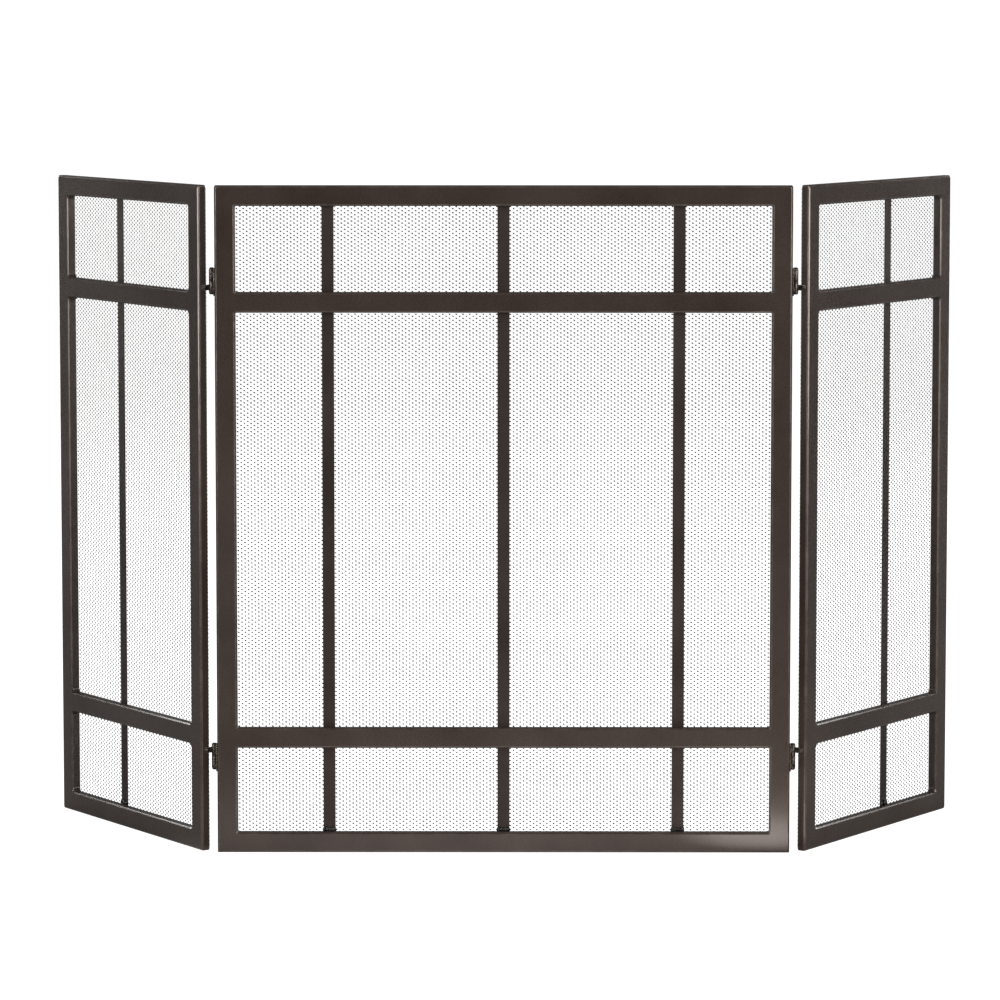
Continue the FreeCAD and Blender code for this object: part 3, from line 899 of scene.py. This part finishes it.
def sheet_band(name, panel, values, u0, u1, z0):
    mesh = grown(name, sheet_tree, values)
    across, up = u1 - u0, values["Rows"] * values["Half Short Way"]
    stand = Matrix.Translation(((u0 + u1) / 2, (SHEET_FRONT + SHEET_BACK) / 2, z0 + up / 2))
    flat_map = mesh.uv_layers.new(name="OFBake")
    for loop in mesh.loops:
        point = mesh.vertices[loop.vertex_index].co
        on_map = (0.5 + point.x / across * MAP_SHARE, 0.5 + point.y / up * MAP_SHARE)
        flat_map.uv[loop.index].vector = on_map
    mesh.transform(panel["place"] @ stand @ Matrix.Rotation(math.pi / 2, 4, "X"))
    return stood(name, mesh)


for name, panel in PANELS.items():
    bands = BANDS[name]
    u0, u1 = panel["span"][0] + INSET + MARGIN, panel["span"][1] - INSET - MARGIN
    z0, z1 = INSET + MARGIN, HEIGHT - INSET - MARGIN
    columns = round((u1 - u0) / (LONG_WAY / 2))
    rows = round((z1 - z0) / (SHORT_WAY / 2) / (2 * bands)) * 2
    half_long, half_short = (u1 - u0) / columns, (z1 - z0) / (rows * bands)
    sizes = {"Columns": columns, "Rows": rows, "Half Long Way": half_long, "Half Short Way": half_short}
    for k in range(bands):
        label = f"{name}_mesh_band_{k + 1}"
        last = {"Closing Row": int(k == bands - 1), "Finish": sheet_coat}
        band = sheet_band(label, panel, STRANDS[name] | sizes | last, u0, u1, z0 + k * rows * half_short)
        dress(band, panel["body"], "mesh", f"{name}_mesh")
        print(label, columns, "by", rows, "half diamonds,", len(band.data.polygons), "faces")

# %% [markdown]
# ## Hinges
# The CAD hinges have the right shape, but cast iron has no knife edges. A copy of each part is
# merged into one skin, its flat faces are joined, and its edges are rounded with a bevel. The new
# bevel faces carry the edge mark, so that the rub shows there.

# %% Round the hinge parts
EDGE_ROUND, ROUND_STEPS = 0.4 * MM, 2
MERGE = 0.002 * MM
FLAT, SHARP = math.radians(1.5), math.radians(35)


def merged_copy(node):
    """A bmesh of a CAD node with its loose triangles merged into skins."""
    shape = bmesh.new()
    shape.from_mesh(frame["nodes"][node].data)
    bmesh.ops.remove_doubles(shape, verts=shape.verts, dist=MERGE)
    return shape


def rounded_copy(node, name):
    shape = merged_copy(node)
    bmesh.ops.dissolve_limit(shape, angle_limit=FLAT, verts=shape.verts, edges=shape.edges)
    mark = shape.verts.layers.float.new("edge")
    sharp = [e for e in shape.edges if e.is_manifold and e.calc_face_angle(0) > SHARP]
    made = bmesh.ops.bevel(
        shape,
        geom=sharp,
        offset=EDGE_ROUND,
        offset_type="OFFSET",
        segments=ROUND_STEPS,
        profile=0.5,
        affect="EDGES",
        clamp_overlap=True,
    )
    for face in made["faces"]:
        for vert in face.verts:
            vert[mark] = 1.0
    bmesh.ops.triangulate(shape, faces=[f for f in shape.faces if len(f.verts) > 4])
    bmesh.ops.recalc_face_normals(shape, faces=shape.faces)
    return finished(name, shape, hinge_iron, crease=50)


for hand in ("left", "right"):
    hinge_parts = (("centre_leaf", "centre_panel"), ("side_leaf", f"{hand}_panel"), ("pin", "centre_panel"))
    for level in ("upper", "lower"):
        for part, body in hinge_parts:
            node = f"{hand}_{level}_hinge_{part}"
            piece = rounded_copy(node, f"{node}_casting")
            dress(piece, body, "hinge", node)
            print(piece.name, len(piece.data.polygons), "faces")

# %% [markdown]
# ## Screws
# Every screw is the same pan-head screw with a cross recess, turned to its own angle. One screw is
# turned on a lathe profile and its recess cut with two blades. Geometry Nodes then set a copy on
# each place. The places are read from the CAD screws: each loose part of a screw node is one screw,
# and the end of its box on the head's side is the crown of the head.

# %% Turn one screw
HEAD_RADIUS, HEAD_HEIGHT = 2.9 * MM, 1.8 * MM
SHANK_RADIUS, SHANK_LENGTH = 1.45 * MM, 6.5 * MM
# the shank's point and the head's side, as shares of the sizes above
POINT_PROFILE = ((0.6, -1.0), (1.0, -0.85), (1.0, 0.0))
HEAD_PROFILE = ((1.0, 0.0), (1.0, 0.25), (0.955, 0.5), (0.84, 0.74), (0.64, 0.91), (0.36, 0.99))
AROUND = 24
BLADE_LONG, BLADE_THICK, BLADE_TALL = 3.3 * MM, 0.75 * MM, 2.2 * MM
BLADE_TAPER, BLADE_RISE = 0.55, 0.2 * MM


def lathe(profile, around):
    """A closed bmesh from (radius, height) rings, capped at both ends."""
    shape = bmesh.new()
    rows = []
    for radius, height in profile:
        turns = [2 * math.pi * k / around for k in range(around)]
        rows.append([shape.verts.new((radius * math.cos(a), radius * math.sin(a), height)) for a in turns])
    for a, b in zip(rows, rows[1:]):
        for k in range(around):
            shape.faces.new((a[k], a[(k + 1) % around], b[(k + 1) % around], b[k]))
    shape.faces.new(list(reversed(rows[0])))
    shape.faces.new(rows[-1])
    return shape


def blade(turn):
    """One blade of the cross that cuts the recess, narrower at its foot."""
    shape = bmesh.new()
    bmesh.ops.create_cube(shape, size=1)
    for vert in shape.verts:
        taper = BLADE_TAPER if vert.co.z < 0 else 1.0
        up = vert.co.z * BLADE_TALL + HEAD_HEIGHT + BLADE_RISE
        vert.co = Vector((vert.co.x * BLADE_LONG * taper, vert.co.y * BLADE_THICK, up))
    shape.transform(Matrix.Rotation(math.radians(turn), 4, "Z"))
    return stood("blade", mesh_from("blade", shape))


def one_screw():
    profile = [(SHANK_RADIUS * r, SHANK_LENGTH * h) for r, h in POINT_PROFILE]
    profile += [(HEAD_RADIUS * r, HEAD_HEIGHT * h) for r, h in HEAD_PROFILE]
    blank = stood("screw blank", mesh_from("screw blank", lathe(profile, AROUND)))
    blades = [blade(turn) for turn in (0, 90)]
    for cutter in blades:
        cut = blank.modifiers.new("recess", "BOOLEAN")
        cut.operation, cut.solver, cut.object = "DIFFERENCE", "EXACT", cutter
    bpy.context.view_layer.update()
    shown = blank.evaluated_get(bpy.context.evaluated_depsgraph_get())
    cut_mesh = bpy.data.meshes.new_from_object(shown)
    for spare in (blank, *blades):
        bpy.data.objects.remove(spare)
    shade(cut_mesh, 35)
    return stood("screw pattern", cut_mesh)


screw_pattern = one_screw()
print("one screw has", len(screw_pattern.data.polygons), "faces")

# %% Build the screw tree
screw_tree = new_tree(
    "set screws",
    [("Screw", "NodeSocketObject", None), ("Seed", I, 11), ("Finish", "NodeSocketMaterial", None)],
)
t = screw_tree
entry, leave = add(t, "NodeGroupInput"), add(t, "NodeGroupOutput")
info = add(t, "GeometryNodeObjectInfo", transform_space="ORIGINAL")
spin = add(t, "FunctionNodeRandomValue", data_type="FLOAT")
spin.inputs[3].default_value = math.pi
facing = add(t, "GeometryNodeInputNamedAttribute", data_type="FLOAT_VECTOR")
facing.inputs["Name"].default_value = "facing"
align = add(t, "FunctionNodeAlignRotationToVector", axis="Z")
turned = add(t, "FunctionNodeRotateRotation", rotation_space="LOCAL")
own_turn = add(t, "FunctionNodeEulerToRotation")
copies = add(t, "GeometryNodeInstanceOnPoints")
real = add(t, "GeometryNodeRealizeInstances")
coat = add(t, "GeometryNodeSetMaterial")
to_points = add(t, "GeometryNodeMeshToPoints")
join(
    t,
    (entry.outputs["Screw"], info.inputs["Object"]),
    (entry.outputs["Seed"], spin.inputs["Seed"]),
    (vector(t, 0, 0, spin.outputs[1]), own_turn.inputs[0]),
    (facing.outputs[0], align.inputs["Vector"]),
    (align.outputs[0], turned.inputs["Rotation"]),
    (own_turn.outputs[0], turned.inputs["Rotate By"]),
    (entry.outputs["Geometry"], to_points.inputs["Mesh"]),
    (to_points.outputs[0], copies.inputs["Points"]),
    (info.outputs["Geometry"], copies.inputs["Instance"]),
    (turned.outputs[0], copies.inputs["Rotation"]),
    (copies.outputs[0], real.inputs[0]),
    (real.outputs[0], coat.inputs["Geometry"]),
    (entry.outputs["Finish"], coat.inputs["Material"]),
    (coat.outputs[0], leave.inputs[0]),
)
print(screw_tree.name, "has", len(t.nodes), "nodes")


# %% Read the screws' places and set them
def loose_parts(node):
    """The points of each loose part of a CAD node, always in the order in which the node lists them."""
    shape = merged_copy(node)
    unseen, parts = dict.fromkeys(shape.verts), []
    while unseen:
        first = next(iter(unseen))
        del unseen[first]
        todo, part = [first], []
        while todo:
            vert = todo.pop()
            part.append(vert.co.copy())
            for edge in vert.link_edges:
                other = edge.other_vert(vert)
                if other in unseen:
                    del unseen[other]
                    todo.append(other)
        parts.append(part)
    shape.free()
    return parts


def set_screws(node, panel, facing_of):
    """Sets a screw on each loose part. facing_of gives the way that a head faces, from its middle."""
    places, ways = [], []
    for part in loose_parts(node):
        middle = (Vector(map(min, zip(*part))) + Vector(map(max, zip(*part)))) / 2
        way = facing_of(middle)
        crown = max(point.dot(way) for point in part)
        foot = min(point.dot(way) for point in part)
        middle += way * (crown - (crown + foot) / 2 - HEAD_HEIGHT)
        places.append(middle)
        ways.append(way)
    mesh = bpy.data.meshes.new(node)
    mesh.from_pydata(places, [], [])
    store = mesh.attributes.new("facing", "FLOAT_VECTOR", "POINT")
    for k, way in enumerate(ways):
        store.data[k].vector = way
    done = grown(node, screw_tree, {"Screw": screw_pattern, "Finish": screw_zinc}, mesh)
    piece = stood(f"{node}_set", done)
    dress(piece, panel["body"], "screws", node)
    print(piece.name, len(places), "screws")


HAND = {"left": -1, "right": 1}
for name, panel in PANELS.items():
    turn = panel["place"].to_3x3()
    set_screws(f"{name}_mesh_screws", panel, lambda at: turn @ Vector((0, 1, 0)))
    if name == "centre":
        set_screws("centre_hinge_screws", panel, lambda at: Vector((math.copysign(1, at.x), 0, 0)))
    else:
        set_screws(f"{name}_hinge_screws", panel, lambda at: turn @ Vector((-HAND[name], 0, 0)))
bpy.data.objects.remove(screw_pattern)

# %% [markdown]
# ## Welds at the feet of the bars
# Each bar is tacked to the top of the bottom rail with a short bead. A bead is a row of overlapping
# drops, so Geometry Nodes set rounded drops along a line, each a little different in size.

# %% Build the weld tree
weld_tree = new_tree(
    "weld bead",
    [
        ("Drops", I, 5),
        ("Length", F, 13 * MM),
        ("Drop Width", F, 4.4 * MM),
        ("Drop Height", F, 6.4 * MM),
        ("Drop Depth", F, 3.6 * MM),
        ("Unevenness", F, 0.3),
        ("Seed", I, 5),
        ("Finish", "NodeSocketMaterial", None),
    ],
)
t = weld_tree
entry, leave = add(t, "NodeGroupInput"), add(t, "NodeGroupOutput")
size = entry.outputs
line = add(t, "GeometryNodeMeshLine", mode="END_POINTS")
half = maths(t, "MULTIPLY", size["Length"], 0.5)
drop = add(t, "GeometryNodeMeshIcoSphere", inputs={"Radius": 0.5, "Subdivisions": 3})
uneven = add(t, "FunctionNodeRandomValue", data_type="FLOAT")
deep = maths(t, "MULTIPLY", size["Drop Depth"], uneven.outputs[1])
high = maths(t, "MULTIPLY", size["Drop Height"], uneven.outputs[1])
copies = add(t, "GeometryNodeInstanceOnPoints")
real = add(t, "GeometryNodeRealizeInstances")
smooth = add(t, "GeometryNodeSetShadeSmooth")
coat = add(t, "GeometryNodeSetMaterial")
join(
    t,
    (size["Drops"], line.inputs["Count"]),
    (vector(t, maths(t, "MULTIPLY", half, -1), 0, 0), line.inputs["Start Location"]),
    (vector(t, half, 0, 0), line.inputs["Offset"]),
    (maths(t, "SUBTRACT", 1, size["Unevenness"]), uneven.inputs[2]),
    (maths(t, "ADD", 1, size["Unevenness"]), uneven.inputs[3]),
    (size["Seed"], uneven.inputs["Seed"]),
    (line.outputs[0], copies.inputs["Points"]),
    (drop.outputs["Mesh"], copies.inputs["Instance"]),
    (vector(t, size["Drop Width"], deep, high), copies.inputs["Scale"]),
    (copies.outputs[0], real.inputs[0]),
    (real.outputs[0], smooth.inputs["Geometry"]),
    (smooth.outputs[0], coat.inputs["Geometry"]),
    (size["Finish"], coat.inputs["Material"]),
    (coat.outputs[0], leave.inputs[0]),
)
print(weld_tree.name, "has", len(t.nodes), "nodes")

# %% Tack the bars' feet
FIRST_SEED = 5
BEAD_FORWARD, BEAD_RISE = 0.2 * MM, 1.6 * MM
for k, (node, u) in enumerate(sorted(BARS.items())):
    panel = PANELS[node.split("_")[0]]
    mesh = grown(f"{node}_weld", weld_tree, {"Seed": FIRST_SEED + k, "Finish": weld_metal})
    foot = Matrix.Translation((u, STRIP_FRONT - BEAD_FORWARD, FACE + BEAD_RISE))
    mesh.transform(panel["place"] @ foot)
    bead = stood(f"{node}_weld", mesh)
    dress(bead, panel["body"], "frame_paint")
    print(bead.name, len(mesh.polygons), "faces")

# %% Print the visual size and finish
low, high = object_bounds()
print("visual box in mm:", [round(v / MM, 1) for v in (*low, *high)])
